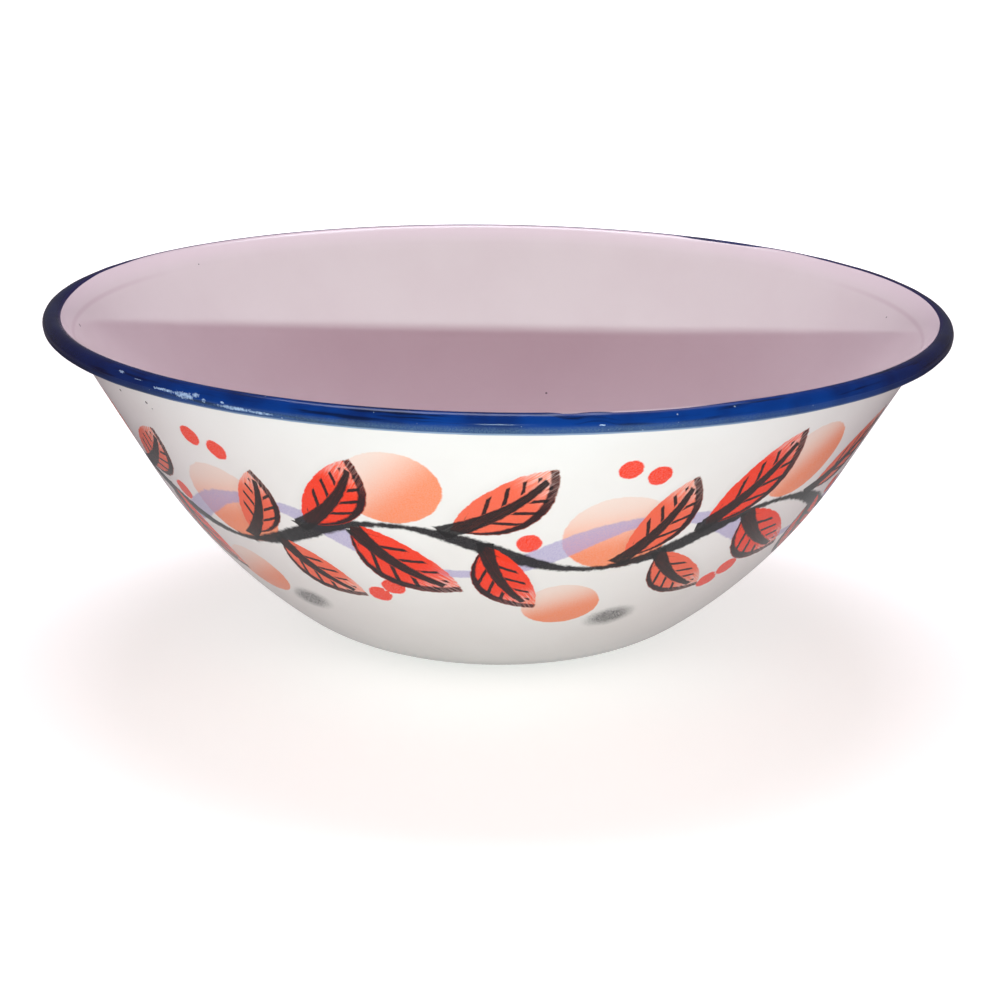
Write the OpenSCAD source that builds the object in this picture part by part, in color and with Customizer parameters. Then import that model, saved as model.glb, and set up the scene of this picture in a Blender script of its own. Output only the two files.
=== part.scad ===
// Enamel basin bowl, pressed from one round of sheet steel and coated with glass.
// The wall leans out in a straight flare, turns out a little more at a narrow lip and
// rolls outwards into a hollow bead. Every coat follows the sheet at its own distance,
// so each piece is the band between two such paths, turned round the upright axis.
// Origin: centre of the foot, on the surface that the bowl stands on. +Z is up.

/* [Overall] */
// Diameter over the rolled bead
rim_d = 300; // [270:1:330]
// Height from the table to the top of the bead
height = 111; // [104:1:118]
// Diameter at which the curve of the side, carried on, would meet the table
base_d = 110; // [102:1:118]

/* [Side] */
// Angle between the straight part of the side and the table
wall_angle = 60; // [58:0.5:62]
// Length of the straight part of the side below the lip
wall_straight = 45; // [30:1:54]
// Outside radius of the turn from the foot into the side
knuckle_r = 51.5; // [42:0.5:58]

/* [Rim] */
// Diameter of the rolled bead, over its enamel
bead_d = 6.4; // [5.8:0.1:7.4]
// How far the lip leans out of the line of the side before it rolls
lip_flare = 1.2; // [0.8:0.1:1.6]
// Length of side over which the lip turns out
lip_len = 7; // [6:0.5:9]
// Gap between the rolled edge of the sheet and the side, under the bead
curl_gap = 0.8; // [0.5:0.1:1.6]
// How far round the bead the inside colour runs before the rim colour starts, in degrees
rim_turn = 22; // [12:1:36]

/* [Foot] */
// Width of the flat ring that the bowl stands on
foot_w = 5; // [3:0.5:8]
// How far the middle of the bottom is pressed up clear of the table
kick = 1.2; // [0.6:0.1:2.4]
// Slope at the middle of the pressed step
step_angle = 30; // [20:1:40]

/* [Sheet and coats] */
// Thickness of the steel sheet
sheet_t = 0.7; // [0.5:0.05:0.9]
// Thickness of the dark ground coat, on each face of the sheet
ground_t = 0.15; // [0.12:0.01:0.2]
// Thickness of the coloured cover coat, on each face of the sheet
cover_t = 0.25; // [0.2:0.01:0.35]

/* [Hidden] */

// Steps of the turn round the axis, and how far a chord of the profile may leave its arc
turn_steps = 240;
chord_sag = 0.01;

// Angle from a surface to its normal, whose cosine is zero, and the whole way round
quarter = acos(0);
full_turn = 4 * quarter;

// Distances from the middle of the sheet, out through its coats
at_steel = sheet_t / 2;
at_ground = at_steel + ground_t;
at_cover = at_ground + cover_t;

// Directions up the straight side and out of it, away from the inside of the bowl
along = [cos(wall_angle), sin(wall_angle)];
outward = [sin(wall_angle), -cos(wall_angle)];

// Rolled bead: its centre, and the radius of the middle of the sheet in it
bead_r = bead_d / 2;
bead_c = [rim_d / 2 - bead_r, height - bead_r];
roll_r = bead_r - at_cover;

// Lip: the straight side stops at lip_foot, and one arc carries it on to the bead
lip_foot = bead_c - outward * (roll_r + lip_flare) - along * lip_len;
lip_r = roll_r + (lip_flare * lip_flare + lip_len * lip_len) / (2 * lip_flare);
lip_c = lip_foot + outward * lip_r;
lip_from = wall_angle + quarter;
lip_to = lip_from - asin(lip_len / (lip_r - roll_r));

// Curl: the bead goes on from the lip until its edge is curl_gap short of the side
bead_to_lip_c = lip_r - roll_r;
edge_to_lip_c = lip_r - at_cover - curl_gap;
curl_left = acos((edge_to_lip_c * edge_to_lip_c - bead_to_lip_c * bead_to_lip_c - bead_r * bead_r)
                 / (2 * bead_to_lip_c * bead_r));
roll_to = lip_to - full_turn + curl_left;

// Where the inside colour stops on the bead, and how far the ground coat wraps the cut edge
rim_from = lip_to - rim_turn;
edge_from = roll_to;
edge_to = roll_to - 2 * asin(ground_t / (2 * roll_r));

// Side: one arc runs from the straight part down towards the base circle
side_top = lip_foot - along * wall_straight;
sheet_z = at_cover;
side_foot = [base_d / 2, sheet_z];
side_chord = side_top - side_foot;
chord_angle = atan2(side_chord[1], side_chord[0]);
side_r = norm(side_chord) / (2 * sin(wall_angle - chord_angle));
side_c = side_top - outward * side_r;
side_to = wall_angle - quarter;

// Knuckle: an arc that touches both the flat of the foot and the arc of the side
turn_r = knuckle_r - at_cover;
turn_rise = side_c[1] - sheet_z - turn_r;
turn_c = [side_c[0] + sqrt(pow(side_r - turn_r, 2) - turn_rise * turn_rise), sheet_z + turn_r];
turn_to = acos(turn_rise / (side_r - turn_r)) - quarter;

// Foot, and the step up to the middle of the bottom, made of two equal arcs
foot_outer = turn_c[0];
foot_inner = foot_outer - foot_w;
step_r = kick / (2 * (1 - cos(step_angle)));
panel_r = foot_inner - 2 * step_r * sin(step_angle);
panel_z = sheet_z + kick;

// Points of an arc after its first, from the direction "from" to the direction "to".
// r is the radius of the sheet's middle, and d how far outside it this path lies.
function arc(centre, r, d, from, to) =
    let (turn = to - from, count = ceil(abs(turn) / (2 * acos(1 - chord_sag / r))))
    [for (i = [1:count]) let (a = from + turn * i / count) centre + (r + d) * [cos(a), sin(a)]];

// Path that keeps the distance d out of the middle of the sheet, from the middle of the
// bottom to the end of the lip. A curve that bulges into the bowl counts d the other way.
function wall_path(d) = concat(
    [[0, panel_z - d], [panel_r, panel_z - d]],
    arc([panel_r, panel_z - step_r], step_r, -d, quarter, quarter - step_angle),
    arc([foot_inner, sheet_z + step_r], step_r, d, -quarter - step_angle, -quarter),
    [[foot_outer, sheet_z - d]],
    arc(turn_c, turn_r, d, -quarter, turn_to),
    arc(side_c, side_r, d, turn_to, side_to),
    [lip_foot + outward * d],
    arc(lip_c, lip_r, -d, lip_from, lip_to)
);

// The same path round the bead, after its first point
function bead_path(d, from, to) = arc(bead_c, roll_r, -d, from, to);

// One point of that path
function bead_point(d, at) = bead_c + (roll_r - d) * [cos(at), sin(at)];

function reversed(path) = [for (i = [len(path) - 1:-1:0]) path[i]];

// Turns the band between two paths round the axis of the bowl
module turned_band(path_a, path_b) {
    rotate_extrude($fn = turn_steps)
        polygon(concat(path_a, reversed(path_b)));
}

// Whole path, from the middle of the bottom to a place on the bead
function sheet_path(d, to) = concat(wall_path(d), bead_path(d, lip_to, to));

module steel_body() {
    color("silver")
        turned_band(sheet_path(-at_steel, roll_to), sheet_path(at_steel, roll_to));
}

module ground_coat_inside() {
    color("midnightblue")
        turned_band(sheet_path(-at_ground, roll_to), sheet_path(-at_steel, roll_to));
}

// The outer ground coat also goes round the cut edge of the sheet
module ground_coat_outside() {
    edge_path = [bead_point(-at_ground, edge_from), bead_point(-at_ground, edge_to),
                 bead_point(at_ground, edge_to)];
    color("darkslateblue")
        turned_band(concat(sheet_path(at_steel, roll_to), edge_path), sheet_path(at_ground, roll_to));
}

module inside_enamel() {
    color("thistle")
        turned_band(sheet_path(-at_cover, rim_from), sheet_path(-at_ground, rim_from));
}

module outside_enamel() {
    color("ghostwhite")
        turned_band(wall_path(at_ground), wall_path(at_cover));
}

module rim_enamel() {
    color("royalblue")
        turned_band(
            concat([bead_point(-at_cover, rim_from)], bead_path(-at_cover, rim_from, roll_to)),
            concat([bead_point(-at_ground, rim_from)], bead_path(-at_ground, rim_from, roll_to))
        );
}

steel_body();
ground_coat_inside();
ground_coat_outside();
inside_enamel();
outside_enamel();
rim_enamel();
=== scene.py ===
# %% [markdown]
# # An enamel basin bowl
# The real bowl is one pressing of thin sheet steel whose edge is rolled outwards into a hollow bead.
# It is dipped and fired in coats of glass: a dark ground coat that grips the steel, then white
# outside, dusty pink inside and cobalt brushed round the bead. A print is fired onto the white.
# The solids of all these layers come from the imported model. This lesson keeps the hidden ones as
# they are and makes the three that show again as finer shells, so that they can carry lumps,
# a hand-brushed edge and a print, and then lights and photographs the bowl.

import math

import bmesh
import bpy
import numpy as np
from mathutils import Matrix, Vector


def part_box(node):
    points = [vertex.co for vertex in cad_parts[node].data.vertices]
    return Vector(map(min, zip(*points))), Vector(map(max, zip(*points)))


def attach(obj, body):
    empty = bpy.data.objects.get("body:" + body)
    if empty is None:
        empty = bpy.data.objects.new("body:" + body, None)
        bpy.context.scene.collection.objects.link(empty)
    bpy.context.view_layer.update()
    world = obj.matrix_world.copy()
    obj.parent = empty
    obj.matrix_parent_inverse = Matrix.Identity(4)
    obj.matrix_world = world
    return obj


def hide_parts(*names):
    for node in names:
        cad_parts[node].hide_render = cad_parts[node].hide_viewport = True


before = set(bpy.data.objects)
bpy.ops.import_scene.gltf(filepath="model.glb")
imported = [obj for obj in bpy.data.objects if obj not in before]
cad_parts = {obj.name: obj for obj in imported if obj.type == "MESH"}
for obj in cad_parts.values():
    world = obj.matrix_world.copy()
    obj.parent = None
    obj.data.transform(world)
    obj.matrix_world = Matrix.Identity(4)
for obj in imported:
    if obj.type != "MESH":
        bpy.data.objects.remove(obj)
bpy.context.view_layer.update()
print("packed nodes:", sorted(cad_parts))

# %% [markdown]
# ## The bowl's sizes
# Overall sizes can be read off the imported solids, so they are never typed twice. The thicknesses
# and radii inside the profile can't be measured so easily. They are the presser's own sizes and
# are repeated here by name, in metres.

# %% Sizes of the pressing and of its coats
MM = 0.001
FULL_TURN = 2 * math.pi
rim_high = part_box("rim_enamel")[1]
rim_radius = rim_high.x
bowl_height = rim_high.z

base_radius = 55 * MM
wall_angle = 60
wall_straight = 45 * MM
knuckle_radius = 51.5 * MM
bead_radius = 3.2 * MM
lip_flare = 1.2 * MM
lip_length = 7 * MM
curl_gap = 0.8 * MM
foot_width = 5 * MM
kick = 1.2 * MM
step_angle = 30
sheet_thick = 0.7 * MM
ground_thick = 0.15 * MM
cover_thick = 0.25 * MM

at_ground = sheet_thick / 2 + ground_thick
at_cover = at_ground + cover_thick
print("rim radius %.1f mm, height %.1f mm" % (rim_radius / MM, bowl_height / MM))

# %% [markdown]
# ## One profile for every coat
# A pressed bowl has one drawn profile, and every layer keeps its own distance from it. A mesh
# could be pushed along its normals to get each coat, but the rolled bead is so tight that this
# would pinch it. Working each path out from arcs and straight runs keeps the coats true, and the
# spacing of the points can be finer where a print or a reflection needs it.

# %% Places that the profile turns about
RIGHT_ANGLE = 90


def heading(degrees):
    """The direction at that angle in the plane of radius and height."""
    return np.array([math.cos(math.radians(degrees)), math.sin(math.radians(degrees))])


bead_centre = np.array([rim_radius - bead_radius, bowl_height - bead_radius])
roll_radius = bead_radius - at_cover
up_side = heading(wall_angle)
out_of_side = heading(wall_angle - RIGHT_ANGLE)

lip_foot = bead_centre - out_of_side * (roll_radius + lip_flare) - up_side * lip_length
lip_radius = roll_radius + (lip_flare ** 2 + lip_length ** 2) / (2 * lip_flare)
lip_centre = lip_foot + out_of_side * lip_radius
lip_start = wall_angle + RIGHT_ANGLE
lip_end = lip_start - math.degrees(math.asin(lip_length / (lip_radius - roll_radius)))

to_lip_centre = lip_radius - roll_radius
edge_reach = lip_radius - at_cover - curl_gap
curl_cosine = (edge_reach ** 2 - to_lip_centre ** 2 - bead_radius ** 2) / (2 * to_lip_centre * bead_radius)
roll_end = lip_end - math.degrees(FULL_TURN - math.acos(curl_cosine))

side_top = lip_foot - up_side * wall_straight
side_chord = side_top - np.array([base_radius, at_cover])
chord_angle = math.atan2(side_chord[1], side_chord[0])
side_radius = np.hypot(*side_chord) / (2 * math.sin(math.radians(wall_angle) - chord_angle))
side_centre = side_top - out_of_side * side_radius
side_end = wall_angle - RIGHT_ANGLE

knuckle_roll = knuckle_radius - at_cover
knuckle_rise = side_centre[1] - at_cover - knuckle_roll
knuckle_run = math.sqrt((side_radius - knuckle_roll) ** 2 - knuckle_rise ** 2)
knuckle_centre = np.array([side_centre[0] + knuckle_run, at_cover + knuckle_roll])
knuckle_end = math.degrees(math.acos(knuckle_rise / (side_radius - knuckle_roll))) - RIGHT_ANGLE

foot_outer = knuckle_centre[0]
foot_inner = foot_outer - foot_width
step_radius = kick / (2 * (1 - math.cos(math.radians(step_angle))))
panel_radius = foot_inner - 2 * step_radius * math.sin(math.radians(step_angle))
panel_height = at_cover + kick
print("flat foot from %.1f to %.1f mm" % (foot_inner / MM, foot_outer / MM))


# %% Paths that keep a distance from the sheet's middle
ARC_STEP = 5


def straight(start, end, gap):
    """Points of a straight run after its first one, no further than gap apart."""
    start, end = np.array(start), np.array(end)
    count = math.ceil(np.hypot(*(end - start)) / gap)
    return [start + (end - start) * i / count for i in range(1, count + 1)]


def arc(centre, radius, offset, start, end, gap):
    """Points of an arc after its first one. The offset is added to the radius of the sheet's middle."""
    turn = abs(end - start)
    count = math.ceil(max(turn / ARC_STEP, math.radians(turn) * radius / gap))
    return [centre + (radius + offset) * heading(start + (end - start) * i / count)
            for i in range(1, count + 1)]


def wall_path(offset, gap):
    """From the middle of the bottom to the end of the lip, at that distance outside the sheet's middle."""
    path = [np.array([0, panel_height - offset])]
    path += straight(path[-1], [panel_radius, panel_height - offset], gap)
    path += arc(np.array([panel_radius, panel_height - step_radius]), step_radius, -offset,
                RIGHT_ANGLE, RIGHT_ANGLE - step_angle, gap)
    path += arc(np.array([foot_inner, at_cover + step_radius]), step_radius, offset,
                -RIGHT_ANGLE - step_angle, -RIGHT_ANGLE, gap)
    path += straight(path[-1], [foot_outer, at_cover - offset], gap)
    path += arc(knuckle_centre, knuckle_roll, offset, -RIGHT_ANGLE, knuckle_end, gap)
    path += arc(side_centre, side_radius, offset, knuckle_end, side_end, gap)
    path += straight(path[-1], lip_foot + out_of_side * offset, gap)
    return path + arc(lip_centre, lip_radius, -offset, lip_start, lip_end, gap)


def bead_path(offset, start, end, gap):
    """Round the bead, after its first point."""
    return arc(bead_centre, roll_radius, -offset, start, end, gap)


FINE = 1.6 * MM
COARSE = 8 * MM
outer_face = wall_path(at_cover, FINE)
print("points up the outside:", len(outer_face))

# %% [markdown]
# ## Small helpers for node trees
# A tree that is built in a script is easier to read if one short call makes a node, sets it and
# wires it. A value that comes out of another node is linked, and any other value is typed into
# the socket.

# %% Sockets by number, where a node gives several the same name
FLOAT_MIX_A = 2
FLOAT_MIX_B = 3
COLOR_MIX_A = 6
COLOR_MIX_B = 7
COLOR_MIX_RESULT = 2


# %% Helpers that make and wire nodes
def feed(tree, socket, value):
    """Links a socket to another node's output, or sets its own value."""
    if isinstance(value, bpy.types.NodeSocket):
        tree.links.new(value, socket)
    elif value is not None:
        socket.default_value = value


def add(tree, kind, inputs=None, **settings):
    """Makes a node with those settings, and feeds the inputs that are named or numbered."""
    node = tree.nodes.new(kind)
    for name, value in settings.items():
        setattr(node, name, value)
    for key, value in (inputs or {}).items():
        feed(tree, node.inputs[key], value)
    return node


def maths(tree, operation, *values):
    """One sum."""
    return add(tree, "ShaderNodeMath", dict(enumerate(values)), operation=operation).outputs[0]


def vector(tree, operation, *values):
    """One sum on vectors."""
    return add(tree, "ShaderNodeVectorMath", dict(enumerate(values)), operation=operation).outputs[0]


def length_of(tree, arrow):
    """The length of a vector."""
    return add(tree, "ShaderNodeVectorMath", {0: arrow}, operation="LENGTH").outputs["Value"]


def xyz(tree, arrow):
    """The three numbers of a vector."""
    return tuple(add(tree, "ShaderNodeSeparateXYZ", {0: arrow}).outputs)


def own_place(tree):
    """Where a point lies in its object's own coordinates."""
    return add(tree, "ShaderNodeTexCoord").outputs["Object"]


def stored(tree, name, output="Vector"):
    """An attribute that the mesh carries."""
    return add(tree, "ShaderNodeAttribute", attribute_name=name).outputs[output]


# %% Helpers that blend and vary values
def blend(tree, share, low, high):
    """Goes evenly from low where share is 0 to high where it is 1."""
    return add(tree, "ShaderNodeMix", {0: share, FLOAT_MIX_A: low, FLOAT_MIX_B: high}).outputs[0]


def ramp(tree, value, start, end, low=0.0, high=1.0):
    """Goes smoothly from low at start to high at end, and stays level outside them."""
    inputs = {"Value": value, "From Min": start, "From Max": end, "To Min": low, "To Max": high}
    return add(tree, "ShaderNodeMapRange", inputs, interpolation_type="SMOOTHSTEP").outputs[0]


def painted(tree, cover, under, over):
    """The colour under, with the colour over laid on it where cover is 1."""
    inputs = {0: cover, COLOR_MIX_A: under, COLOR_MIX_B: over}
    return add(tree, "ShaderNodeMix", inputs, data_type="RGBA").outputs[COLOR_MIX_RESULT]


def noise(tree, place, scale, detail=2.0, roughness=0.5, seed=0.0):
    """Cloudy noise about one half, at so many cells to the metre."""
    inputs = {"Vector": place, "W": seed, "Scale": scale, "Detail": detail, "Roughness": roughness}
    return add(tree, "ShaderNodeTexNoise", inputs, noise_dimensions="4D").outputs[0]


# %% Helpers that open and close a group
def new_tree(name, kind, inputs, outputs):
    """A node group with named sockets. Returns the tree and the outputs of its Group Input by name."""
    tree = bpy.data.node_groups.new(name, kind)
    for socket_name, socket_type, default in inputs:
        made = tree.interface.new_socket(socket_name, in_out="INPUT", socket_type=socket_type)
        if default is not None:
            made.default_value = default
    for socket_name, socket_type in outputs:
        tree.interface.new_socket(socket_name, in_out="OUTPUT", socket_type=socket_type)
    given = tree.nodes.new("NodeGroupInput").outputs
    return tree, {socket_name: given[socket_name] for socket_name, _, _ in inputs}


def finish_tree(tree, **results):
    """Wires the results to the Group Output. A name's underscores stand for spaces."""
    end = tree.nodes.new("NodeGroupOutput")
    for name, value in results.items():
        feed(tree, end.inputs[name.replace("_", " ").title()], value)
    print("tree", tree.name, "has", len(tree.nodes), "nodes")
    return tree

# %% [markdown]
# ## Turning a coat round the axis
# The white and the pink coats are bands that are spun round the bowl's axis, as a potter's
# profile is. The Spin tool or a Screw modifier could do it. Geometry Nodes are used here because
# the whole rule stays open to view: a grid has one column for each step of the turn and one row
# for each point of the profile, every grid point looks its place up on the profile, and the last
# column is welded to the first.

# %% Grid, turn and weld
WELD = 0.0005 * MM


def grid_places(tree, columns, rows):
    """A grid that closes on itself both ways: its mesh, and each point's column and row."""
    tall = maths(tree, "ADD", rows, 1.0)
    wide = maths(tree, "ADD", columns, 1.0)
    grid = add(tree, "GeometryNodeMeshGrid", {"Vertices X": wide, "Vertices Y": tall}).outputs["Mesh"]
    index = add(tree, "GeometryNodeInputIndex").outputs[0]
    column = maths(tree, "FLOOR", maths(tree, "DIVIDE", maths(tree, "ADD", index, 0.5), tall))
    row = maths(tree, "MODULO", maths(tree, "SUBTRACT", index, maths(tree, "MULTIPLY", column, tall)), rows)
    return grid, column, row


def turned_round(tree, place, column, columns):
    """The place, turned round the upright axis by its column's share of the whole turn."""
    angle = maths(tree, "DIVIDE", maths(tree, "MULTIPLY", column, FULL_TURN), columns)
    inputs = {"Vector": place, "Angle": angle}
    return add(tree, "ShaderNodeVectorRotate", inputs, rotation_type="Z_AXIS").outputs[0], angle


def welded(tree, mesh, glaze):
    """Welds the seams, shades the mesh smooth and gives it its glaze."""
    merged = add(tree, "GeometryNodeMergeByDistance", {"Geometry": mesh, "Distance": WELD}).outputs[0]
    smooth = add(tree, "GeometryNodeSetShadeSmooth", {"Geometry": merged}).outputs[0]
    real = add(tree, "GeometryNodeRealizeInstances", {"Geometry": smooth}).outputs[0]
    return add(tree, "GeometryNodeSetMaterial", {"Geometry": real, "Material": glaze}).outputs[0]


# %% Tree that spins a closed profile
def make_turned_tree():
    """A closed profile, spun round the upright axis."""
    tree, given = new_tree(
        "turned coat", "GeometryNodeTree",
        [("Profile", "NodeSocketGeometry", None), ("Turns", "NodeSocketInt", 360),
         ("Glaze", "NodeSocketMaterial", None)],
        [("Coat", "NodeSocketGeometry")])
    rows = add(tree, "GeometryNodeAttributeDomainSize", {0: given["Profile"]}).outputs["Point Count"]
    grid, column, row = grid_places(tree, given["Turns"], rows)
    position = add(tree, "GeometryNodeInputPosition").outputs[0]
    looked_up = add(tree, "GeometryNodeSampleIndex", {"Geometry": given["Profile"], "Value": position,
                    "Index": row}, data_type="FLOAT_VECTOR").outputs[0]
    place, _ = turned_round(tree, looked_up, column, given["Turns"])
    moved = add(tree, "GeometryNodeSetPosition", {"Geometry": grid, "Position": place}).outputs[0]
    return finish_tree(tree, coat=welded(tree, moved, given["Glaze"]))


turned_tree = make_turned_tree()

# %% [markdown]
# ## The brushed coat on the bead
# The cobalt is the last coat, brushed round the rolled bead by hand over the edge of the pink. Its
# edge wanders, it lies a hair proud of the pink, and it dries in slight lumps that break up the
# highlight. A plain spin can't do that, and sculpting it would be slow to repeat. Here a table of
# places round the bead draws the edge as a curve, and noise roughens it. Each point slides along
# the bead's path from that edge, and then sinks a little by more noise. It never rises above the
# true bead, so the bowl keeps its size.

# %% Brushed edge as a curve
# Where the brush left the edge: an azimuth in degrees, and how far past the end of the lip, in mm
BRUSHED_EDGE = [(0, 0.95), (6, 1.1), (18, 1.2), (30, 1.1), (38, 1.5), (43, 2.0), (48, 0.9), (55, 0.4),
                (60, 0.9), (65, 2.0), (76, 2.2), (100, 2.3), (135, 2.3), (148, 2.2), (153, 1.9), (157, 1.4),
                (162, 1.2), (168, 0.5), (174, -0.2), (180, -0.75), (187, -1.0), (196, -1.0), (208, -0.6),
                (225, 0.0), (240, 0.5), (255, 1.0), (270, 1.3), (275.5, 1.4), (277.5, 2.7), (279, 2.5),
                (280.5, 1.9), (282.5, 2.9), (287, 3.0), (292, 2.6), (296, 1.8), (303, 1.1), (320, 0.6),
                (335, 0.1), (342, 0.1), (348, 0.4), (354, 0.8), (360, 0.95)]
EDGE_FIRST = -1.5
EDGE_LAST = 3.5
DEGREES_ROUND = 360


def edge_curve(tree, angle):
    """The brushed edge as a curve over one turn, between 0 at EDGE_FIRST and 1 at EDGE_LAST."""
    node = add(tree, "ShaderNodeFloatCurve", {"Value": maths(tree, "DIVIDE", angle, FULL_TURN)})
    points = node.mapping.curves[0].points
    span = EDGE_LAST - EDGE_FIRST
    places = [(azimuth / DEGREES_ROUND, (past - EDGE_FIRST) / span) for azimuth, past in BRUSHED_EDGE]
    points[0].location = places[0]
    points[1].location = places[-1]
    for place in places[1:-1]:
        points.new(*place)
    node.mapping.update()
    return node.outputs[0]


# %% Tree that brushes a coat along the bead
def make_brushed_tree():
    """A coat with a brushed edge and lumps, laid along an open path and turned round the axis."""
    tree, given = new_tree(
        "brushed coat", "GeometryNodeTree",
        [("Path", "NodeSocketGeometry", None), ("Turns", "NodeSocketInt", 720),
         ("Rows", "NodeSocketInt", 40), ("Thickness", "NodeSocketFloat", cover_thick),
         ("Edge Place", "NodeSocketFloat", 2 * MM), ("Edge Wander", "NodeSocketFloat", 0.3 * MM),
         ("Edge Dip", "NodeSocketFloat", 0.1 * MM), ("Edge Width", "NodeSocketFloat", 0.5 * MM),
         ("Lump Depth", "NodeSocketFloat", 0.08 * MM),
         ("Lumps Per Metre", "NodeSocketFloat", 90.0), ("Seed", "NodeSocketFloat", 3.0),
         ("Glaze", "NodeSocketMaterial", None)],
        [("Coat", "NodeSocketGeometry")])
    path = add(tree, "GeometryNodeMeshToCurve", {"Mesh": given["Path"]}).outputs[0]
    length = add(tree, "GeometryNodeCurveLength", {"Curve": path}).outputs[0]
    all_rows = maths(tree, "MULTIPLY", given["Rows"], 2.0)
    grid, column, row = grid_places(tree, given["Turns"], all_rows)

    middle = maths(tree, "SUBTRACT", given["Rows"], 0.5)
    off_middle = maths(tree, "ABSOLUTE", maths(tree, "SUBTRACT", row, middle))
    last_row = maths(tree, "SUBTRACT", given["Rows"], 1.0)
    share = maths(tree, "DIVIDE", maths(tree, "SUBTRACT", middle, off_middle), last_row)
    inner = maths(tree, "GREATER_THAN", row, middle)

    spoke, angle = turned_round(tree, (1.0, 0.0, 0.0), column, given["Turns"])
    round_noise = noise(tree, spoke, 2.6, detail=4.0, roughness=0.6, seed=given["Seed"])
    wander = maths(tree, "MULTIPLY", maths(tree, "SUBTRACT", round_noise, 0.5), given["Edge Wander"])
    span = (EDGE_LAST - EDGE_FIRST) * MM
    drawn = maths(tree, "MULTIPLY_ADD", edge_curve(tree, angle), span, EDGE_FIRST * MM)
    edge = maths(tree, "ADD", maths(tree, "ADD", given["Edge Place"], wander), drawn)
    along = maths(tree, "ADD", edge, maths(tree, "MULTIPLY", share, maths(tree, "SUBTRACT", length, edge)))

    sample = add(tree, "GeometryNodeSampleCurve", {"Curves": path, "Length": along}, mode="LENGTH")
    tangent = add(tree, "ShaderNodeVectorRotate",
                  {"Vector": sample.outputs["Tangent"], "Axis": (0.0, 1.0, 0.0), "Angle": math.pi / 2},
                  rotation_type="AXIS_ANGLE").outputs[0]
    from_edge = maths(tree, "SUBTRACT", along, edge)
    near_edge = ramp(tree, from_edge, 0.0, given["Edge Width"], 1.0, 0.0)
    dip = maths(tree, "MULTIPLY", near_edge, given["Edge Dip"])
    flat_place, _ = turned_round(tree, sample.outputs["Position"], column, given["Turns"])
    clouds = noise(tree, flat_place, given["Lumps Per Metre"], detail=3.0, seed=given["Seed"])
    past_edge = ramp(tree, from_edge, given["Edge Width"], 1.5 * MM)
    lump = maths(tree, "MULTIPLY", maths(tree, "MULTIPLY", ramp(tree, clouds, 0.3, 0.7), past_edge),
                 given["Lump Depth"])
    sunk = maths(tree, "ADD", dip, lump)
    depth = blend(tree, inner, sunk, given["Thickness"])
    offset = add(tree, "ShaderNodeVectorMath", {0: tangent, "Scale": depth}, operation="SCALE").outputs[0]
    sunk_place = vector(tree, "ADD", sample.outputs["Position"], offset)
    place, _ = turned_round(tree, sunk_place, column, given["Turns"])

    moved = add(tree, "GeometryNodeSetPosition", {"Geometry": grid, "Position": place}).outputs[0]
    noted = add(tree, "GeometryNodeStoreNamedAttribute",
                {"Geometry": moved, "Name": "from_edge", "Value": maths(tree, "DIVIDE", from_edge, MM)},
                data_type="FLOAT", domain="POINT").outputs[0]
    return finish_tree(tree, coat=welded(tree, noted, given["Glaze"]))


brushed_tree = make_brushed_tree()

# %% [markdown]
# ## Effects that several glazes share
# Fired enamel has four habits that show at arm's length. Its surface is faintly wavy, like the
# skin of an orange, which bends reflections. Here and there a pinhole or a grain shows the dark
# ground coat. A sprayed print has a ragged, grainy edge. And single specks and scuffs lie where
# use or the kiln left them. Each habit is a node group with its own sizes, so that the same
# recipe can be finer in one glaze than another.

# %% Orange peel
FLOAT = "NodeSocketFloat"
VECTOR = "NodeSocketVector"


def make_orange_peel():
    """Height of a gently wavy surface, between 0 and 1."""
    tree, given = new_tree("orange peel", "ShaderNodeTree",
                           [("Waves Per Metre", FLOAT, 130.0), ("Fine Share", FLOAT, 0.25)],
                           [("Height", FLOAT)])
    place = own_place(tree)
    wide = noise(tree, place, given["Waves Per Metre"], detail=1.0)
    fine = noise(tree, place, maths(tree, "MULTIPLY", given["Waves Per Metre"], 7.0), detail=2.0)
    return finish_tree(tree, height=blend(tree, given["Fine Share"], wide, fine))


orange_peel = make_orange_peel()


# %% Pinholes
def make_pinholes():
    """Mask of small round specks, in a chosen share of the cells of a lattice."""
    tree, given = new_tree("pinholes", "ShaderNodeTree",
                           [("Cells Per Metre", FLOAT, 40.0), ("Share", FLOAT, 0.1),
                            ("Size", FLOAT, 0.012), ("Offset", VECTOR, (0.0, 0.0, 0.0))],
                           [("Mask", FLOAT)])
    place = vector(tree, "ADD", own_place(tree), given["Offset"])
    cells = add(tree, "ShaderNodeTexVoronoi", {"Vector": place, "Scale": given["Cells Per Metre"]})
    luck = add(tree, "ShaderNodeSeparateColor", {0: cells.outputs["Color"]})
    chosen = maths(tree, "LESS_THAN", luck.outputs[0], given["Share"])
    size = maths(tree, "MULTIPLY", given["Size"], maths(tree, "ADD", luck.outputs[1], 0.4))
    rough = maths(tree, "MULTIPLY", noise(tree, place, 2500.0, detail=1.0), size)
    reach = maths(tree, "ADD", cells.outputs["Distance"], rough)
    dot = ramp(tree, reach, size, maths(tree, "MULTIPLY", size, 1.5), 1.0, 0.0)
    return finish_tree(tree, mask=maths(tree, "MULTIPLY", dot, chosen))


pinholes = make_pinholes()


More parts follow.
